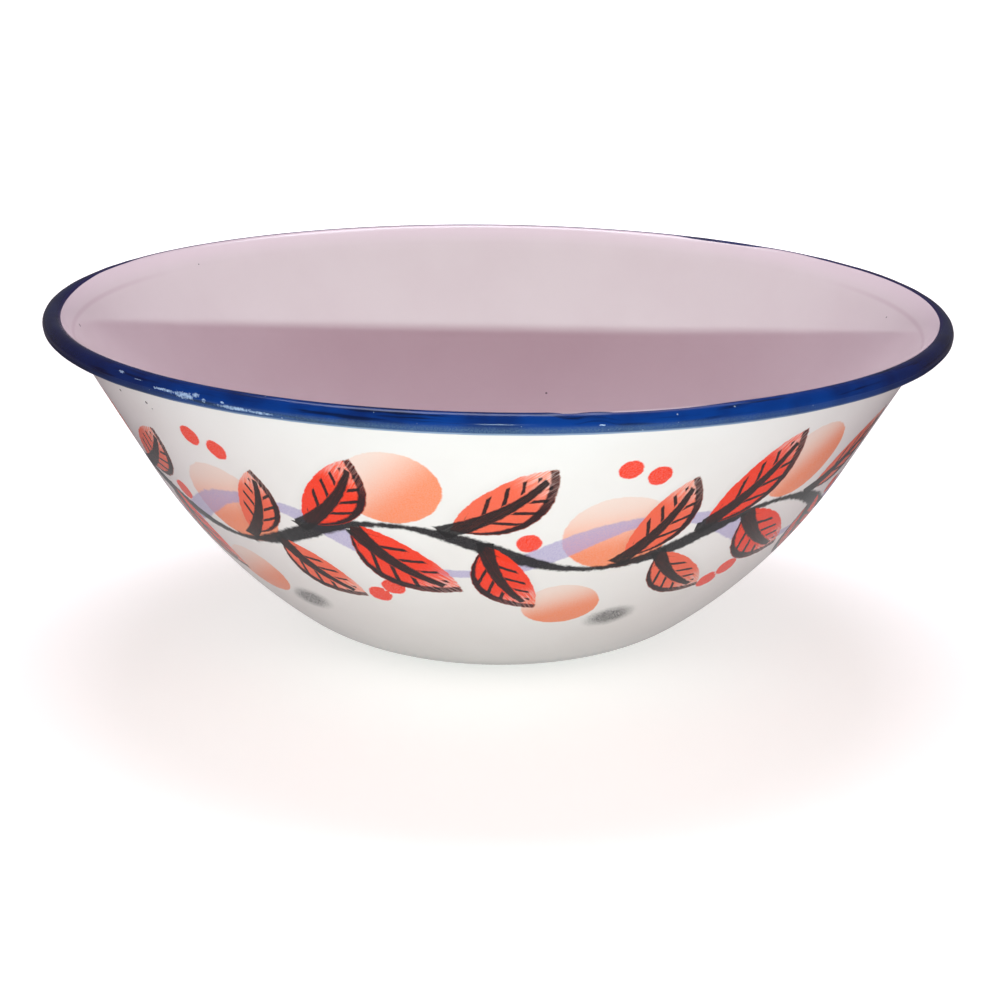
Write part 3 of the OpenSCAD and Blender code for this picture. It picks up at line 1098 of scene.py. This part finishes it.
# %% The cobalt coat
LIP_COVERED = 2.5 * MM
BEAD_GAP = 0.1 * MM
BEAD_TURNS = 720
BEAD_ROWS = 40
whole_lip = arc(lip_centre, lip_radius, at_cover, lip_start, lip_end, BEAD_GAP)
lip_points = [p for p in whole_lip if np.hypot(*(p - whole_lip[-1])) <= LIP_COVERED]
blue_path = lip_points + bead_path(-at_cover, lip_end, roll_end, BEAD_GAP)
rim_glaze = grown(profile_object("rim_glaze", blue_path, False), brushed_tree,
                  {"Turns": BEAD_TURNS, "Rows": BEAD_ROWS, "Thickness": cover_thick,
                   "Edge Place": LIP_COVERED, "Edge Wander": 0.5 * MM, "Edge Dip": 0.16 * MM,
                   "Edge Width": 0.35 * MM, "Lump Depth": 0.1 * MM, "Lumps Per Metre": 75.0, "Seed": 3.0,
                   "Glaze": cobalt_glaze})

# %% [markdown]
# ## Where the motifs lie
# The side of the bowl is nearly a cone, so it unrolls with little stretch. Each motif has a place
# on the unrolled band, by its turn round the bowl and its height up the slant. Every face takes
# the nearest motif and writes down where its corners lie on it. Corners, and not points,
# keep these coordinates, so that neighbouring faces can belong to different motifs with no smear
# between them.

# %% The unrolled band
BAND_MIDDLE = 61 * MM
slant_path = np.array([p for p in outer_face if p[0] > foot_outer])
slant_length = np.concatenate([[0], np.cumsum(np.hypot(*np.diff(slant_path, axis=0).T))])
band_slant = float(np.interp(BAND_MIDDLE, slant_path[:, 1], slant_length))
band_radius = float(np.interp(BAND_MIDDLE, slant_path[:, 1], slant_path[:, 0]))
wave_length = FULL_TURN * band_radius / WAVES / MM
print("band radius %.1f mm, one wave %.1f mm long" % (band_radius / MM, wave_length))

# %% Motifs of one wave
STALK = 1.5

# Each leaf: its share of the wave, its heading in degrees, its size and its tone, from red to coral
LEAVES = [(0.04, 58, 0.95, 0.0), (0.12, -40, 0.95, 0.0), (0.40, 40, 0.90, 1.0), (0.45, -62, 0.85, 0.0),
          (0.845, 67, 0.80, 1.0), (0.90, -48, 0.80, 1.0)]
# Each fruit: its share of the wave, its height over the vine, its two radii and its turn, all in mm
FRUIT = [(0.27, 16, 16.0, 14.5, 20), (0.79, 15, 17.5, 15.5, -15), (0.70, -19, 12.0, 11.0, 0)]
# Each berry: its share of the wave and its height over the vine in mm
BERRIES = [(0.17, -33), (0.22, -29), (0.78, 42), (0.85, 37), (0.58, 8)]
# Each smudge of dark spray, placed in the same way
SMUDGES = [(0.87, -31)]
SMUDGE_RADII = (6.5, 4.6)
SMUDGE_TURN = 15

# %% Motifs all round the bowl
luck = np.random.default_rng(11)


def vine_height(share):
    """Height of the vine over the middle of the band, in millimetres."""
    return VINE_REACH * math.sin(FULL_TURN * share)


def stamps():
    """Rows of azimuth, height, turn, width, length and tone: the leaves, and then all round motifs."""
    leaves, fruit = [], []
    for wave in range(WAVES):
        for share, way, size, tone in LEAVES:
            way += luck.uniform(-5, 5)
            size *= luck.uniform(0.93, 1.07)
            reach = STALK + LEAF_HALF * size
            along = share * wave_length + reach * math.cos(math.radians(way))
            height = vine_height(share) + reach * math.sin(math.radians(way))
            azimuth = (wave + along / wave_length) / WAVES
            leaves.append([azimuth, height, way - RIGHT_ANGLE, size, size, tone])
        for share, over, wide, tall, turn in FRUIT:
            azimuth = (wave + share + luck.uniform(-0.01, 0.01)) / WAVES
            fruit.append([azimuth, vine_height(share) + over, turn, wide, tall, luck.uniform(0, 0.5)])
        for share, over in BERRIES:
            fruit.append([(wave + share) / WAVES, vine_height(share) + over, 0, BERRY_RADIUS, BERRY_RADIUS,
                          BERRY_TONE])
        for share, over in SMUDGES:
            fruit.append([(wave + share) / WAVES, vine_height(share) + over, SMUDGE_TURN, *SMUDGE_RADII,
                          SMUDGE_TONE])
    return np.array(leaves), np.array(fruit)


leaf_rows, fruit_rows = stamps()
print(len(leaf_rows), "leaves,", len(fruit_rows), "fruit, berries and smudges")


# %% Nearest motif
def on_stamp(azimuth, height, radius, row):
    """Coordinates on a stamp, in its own millimetres. Azimuths are shares of the whole turn."""
    turned = azimuth - row[..., 0]
    across = (turned - np.round(turned)) * FULL_TURN * radius / MM
    up = height - row[..., 1]
    way = np.radians(row[..., 2])
    x = (np.cos(way) * across + np.sin(way) * up) / row[..., 3]
    y = (np.cos(way) * up - np.sin(way) * across) / row[..., 4]
    return x, y


def leaf_nearness(x, y, size):
    """Distance from a leaf's middle, as a share of its width and length, times the leaf's size."""
    return np.hypot(np.abs(x) / LEAF_WIDE, np.abs(y) / LEAF_HALF) * size


def fruit_nearness(x, y, size):
    """How far a place is from a round motif's edge, in millimetres."""
    return (np.hypot(x, y) - 1) * size


def nearest(rows, measure, azimuth, height, radius):
    """The row that is nearest to each face's middle."""
    best = np.full(len(azimuth), np.inf)
    chosen = np.zeros(len(azimuth), int)
    for number, row in enumerate(rows):
        x, y = on_stamp(azimuth, height, radius, row)
        far = measure(x, y, row[3])
        closer = far < best
        best[closer] = far[closer]
        chosen[closer] = number
    return rows[chosen]


# %% Write each face's place on its motif
def write_corners(mesh, name, values):
    """Keeps one vector for each corner of each face."""
    attribute = mesh.attributes.new(name, "FLOAT_VECTOR", "CORNER")
    attribute.data.foreach_set("vector", values.astype(np.float32).ravel())


def stamp_print(mesh):
    """Writes the corner attributes that the print reads."""
    points = np.zeros(len(mesh.vertices) * 3)
    mesh.vertices.foreach_get("co", points)
    points = points.reshape(-1, 3)
    corner_point = np.zeros(len(mesh.loops), int)
    mesh.loops.foreach_get("vertex_index", corner_point)
    sides = np.zeros(len(mesh.polygons), int)
    mesh.polygons.foreach_get("loop_total", sides)
    face_of = np.repeat(np.arange(len(sides)), sides)
    corner = points[corner_point]
    middle = np.stack([np.bincount(face_of, corner[:, i]) / sides for i in range(3)], 1)

    def measured(p):
        azimuth = np.arctan2(p[:, 1], p[:, 0]) / FULL_TURN
        slant = np.interp(p[:, 2], slant_path[:, 1], slant_length)
        return azimuth, (slant - band_slant) / MM, np.hypot(p[:, 0], p[:, 1])

    azimuth, height, radius = measured(corner)
    for name, rows, measure in (("leaf_stamp", leaf_rows, leaf_nearness),
                                ("fruit_stamp", fruit_rows, fruit_nearness)):
        own = nearest(rows, measure, *measured(middle))[face_of]
        x, y = on_stamp(azimuth, height, radius, own)
        write_corners(mesh, name, np.stack([x, y, own[:, 5]], 1))
    home = measured(middle)[0][face_of]
    azimuth = azimuth - np.round(azimuth - home)
    write_corners(mesh, "band_place", np.stack([azimuth, height, np.zeros_like(height)], 1))


stamp_print(outside_glaze.data)
print("printed", outside_glaze.name)

# %% [markdown]
# ## The three coats join the model
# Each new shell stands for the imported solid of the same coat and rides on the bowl's one body.

# %% Ride and replace
for piece, node_name in ((outside_glaze, "outside_enamel"), (inside_glaze, "inside_enamel"),
                         (rim_glaze, "rim_enamel")):
    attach(piece, "root")
    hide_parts(node_name)
print("coats joined to the frame")

# %% [markdown]
# ## Camera
# The photographer held the camera a little above the rim and close to the bowl, and tilted it down
# so that the bowl sits high in the picture. A camera can be placed by hand until the rim's ellipse
# matches, but its height and distance then trade against each other. Here they were solved from
# the ellipse of the rim and the line of the foot, and are written as plain lengths and angles.

# %% Camera at the photograph's view
VIEW_RISE = 12.13
VIEW_ROLL = 0.842
VIEW_DISTANCE = 766.7 * MM
LOOK_DOWN = 16.87
LOOK_ASIDE = -0.11
LENS = 82.15
SENSOR = 36.0

rim_middle = Vector((0, 0, bowl_height - bead_radius))
rise = math.radians(VIEW_RISE)
eye = rim_middle + VIEW_DISTANCE * Vector((0, -math.cos(rise), math.sin(rise)))
down = math.radians(LOOK_DOWN)
aside = math.radians(LOOK_ASIDE)
forward = Vector((-math.cos(down) * math.sin(aside), math.cos(down) * math.cos(aside), -math.sin(down)))
right = Vector((math.cos(aside), math.sin(aside), 0))
above = right.cross(forward)
roll = math.radians(VIEW_ROLL)
camera_x = math.cos(roll) * right + math.sin(roll) * above
camera_y = math.cos(roll) * above - math.sin(roll) * right

camera_data = bpy.data.cameras.new("camera")
camera_data.lens = LENS
camera_data.sensor_width = SENSOR
camera_data.clip_start = 0.05
camera = bpy.data.objects.new("camera", camera_data)
axes = Matrix((camera_x, camera_y, -forward)).transposed()
camera.matrix_world = Matrix.Translation(eye) @ axes.to_4x4()
bpy.context.scene.collection.objects.link(camera)
bpy.context.scene.camera = camera
print("camera at", [round(x, 4) for x in eye])

# %% [markdown]
# ## Floor, lamps and world
# The floor is pale and plain. It glows a little for the camera, which brings it up to white
# without putting more light on the bowl, and it still takes the bowl's shadow. A small lamp near
# the camera throws the shadow of the near rim straight across the far side. So small and strong a
# lamp would burn white patches on the glazes, so glossy rays don't see it, and a weaker lamp in the
# same place gives the glints. A broad lamp overhead and the world fill the rest. The room is
# warmer in front of the bowl than behind it. Shiny surfaces see it dark, as they would in a room
# with one lamp on, and see the floor bright only near the bowl. At the bowl's ends the white side
# is seen almost edge on, and a bright reflection there would wash out the print.

# %% Floor
FLOOR_HALF = 6.0
FLOOR_DROP = 0.05 * MM
FLOOR_COLOUR = paint(234, 230, 227)
# The glow that the camera sees, between two distances from the bowl's axis
GLOW_REACH = (0.45, 0.9)
NEAR_GLOW = 0.5
FAR_GLOW = 0.95
# What shiny surfaces see of the floor: its colour, and its glow between two distances
FLOOR_SHINE = paint(104, 103, 102)
SHINE_REACH = (0.12, 0.22)
NEAR_SHINE = 0.42
FAR_SHINE = 0.03


def make_floor():
    """A large plain floor that glows for the camera and looks darker to shiny surfaces."""
    mesh = bpy.data.meshes.new("floor")
    corners = [(-FLOOR_HALF, -FLOOR_HALF), (FLOOR_HALF, -FLOOR_HALF), (FLOOR_HALF, FLOOR_HALF),
               (-FLOOR_HALF, FLOOR_HALF)]
    mesh.from_pydata([(x, y, -FLOOR_DROP) for x, y in corners], [], [(0, 1, 2, 3)])
    floor = bpy.data.objects.new("floor", mesh)
    bpy.context.scene.collection.objects.link(floor)
    paper = bpy.data.materials.new("pale_floor")
    paper.use_nodes = True
    tree = paper.node_tree
    shader = tree.nodes["Principled BSDF"]
    shader.inputs["Roughness"].default_value = 1.0
    shader.inputs["Specular IOR Level"].default_value = 0.1
    rays = add(tree, "ShaderNodeLightPath")
    is_glossy = rays.outputs["Is Glossy Ray"]
    feed(tree, shader.inputs["Base Color"], painted(tree, is_glossy, FLOOR_COLOUR, FLOOR_SHINE))
    away = length_of(tree, own_place(tree))
    glow = ramp(tree, away, *GLOW_REACH, NEAR_GLOW, FAR_GLOW)
    glow = maths(tree, "MULTIPLY", rays.outputs["Is Camera Ray"], glow)
    shine = maths(tree, "MULTIPLY", is_glossy, ramp(tree, away, *SHINE_REACH, NEAR_SHINE, FAR_SHINE))
    shader.inputs["Emission Color"].default_value = (1, 1, 1, 1)
    feed(tree, shader.inputs["Emission Strength"], maths(tree, "ADD", glow, shine))
    mesh.materials.append(paper)
    return floor


floor = make_floor()
print("floor laid")


# %% Lamps
def area_lamp(name, place, target, width, depth, watts, colour):
    """A rectangular lamp that points at its target and that the camera doesn't see."""
    data = bpy.data.lights.new(name, "AREA")
    data.shape = "RECTANGLE"
    data.size = width
    data.size_y = depth
    data.energy = watts
    data.color = colour
    lamp = bpy.data.objects.new(name, data)
    lamp.location = place
    lamp.rotation_euler = (Vector(target) - Vector(place)).to_track_quat("-Z", "Y").to_euler()
    lamp.visible_camera = False
    bpy.context.scene.collection.objects.link(lamp)
    return lamp


LAMP_RISE = math.radians(7.68)
LAMP_DISTANCE = 0.8
COOL = (0.76, 1.0, 0.92)
SKY = (0.85, 0.88, 1.0)
KEY_WATTS = 4.9
GLINT_WATTS = 1.3
SMALL_LAMP = (0.03, 0.012)
OVERHEAD_PLACE = (0.0, 0.7, 1.7)
OVERHEAD_SIZE = (1.2, 0.8)
OVERHEAD_WATTS = 21.5
bowl_middle = (0, 0, 0.05)
near_rim = Vector((0, -rim_radius + bead_radius, bowl_height))
lamp_place = near_rim + LAMP_DISTANCE * Vector((0, -math.cos(LAMP_RISE), math.sin(LAMP_RISE)))
front_lamp = area_lamp("front_lamp", lamp_place, near_rim, *SMALL_LAMP, KEY_WATTS, COOL)
front_lamp.visible_glossy = False
glint_lamp = area_lamp("glint_lamp", lamp_place, near_rim, *SMALL_LAMP, GLINT_WATTS, COOL)
overhead = area_lamp("overhead", OVERHEAD_PLACE, bowl_middle, *OVERHEAD_SIZE, OVERHEAD_WATTS, SKY)
print("lamps:", front_lamp.name, glint_lamp.name, overhead.name)

# %% World
# Ambient light in front of the bowl and behind it, and where between them it turns
FRONT_AMBIENT = (0.365, 0.232, 0.262, 1.0)
BACK_AMBIENT = (0.305, 0.3, 0.305, 1.0)
AMBIENT_TURN = (0.0, 0.6)
ROOM_SHINE = (0.13, 0.13, 0.13, 1.0)
BACKDROP_WHITE = (1, 1, 1, 1)

world = bpy.data.worlds.new("studio")
world.use_nodes = True
bpy.context.scene.world = world
sky = world.node_tree
rays = add(sky, "ShaderNodeLightPath")
way = xyz(sky, add(sky, "ShaderNodeTexCoord").outputs["Generated"])
ambient = painted(sky, ramp(sky, way[1], *AMBIENT_TURN), FRONT_AMBIENT, BACK_AMBIENT)
shine = painted(sky, rays.outputs["Is Glossy Ray"], ambient, ROOM_SHINE)
clear = maths(sky, "MAXIMUM", rays.outputs["Is Camera Ray"], rays.outputs["Is Transmission Ray"])
backdrop = sky.nodes["Background"]
feed(sky, backdrop.inputs["Color"], painted(sky, clear, shine, BACKDROP_WHITE))
bpy.context.scene.view_settings.view_transform = "Standard"
print("world:", world.name)
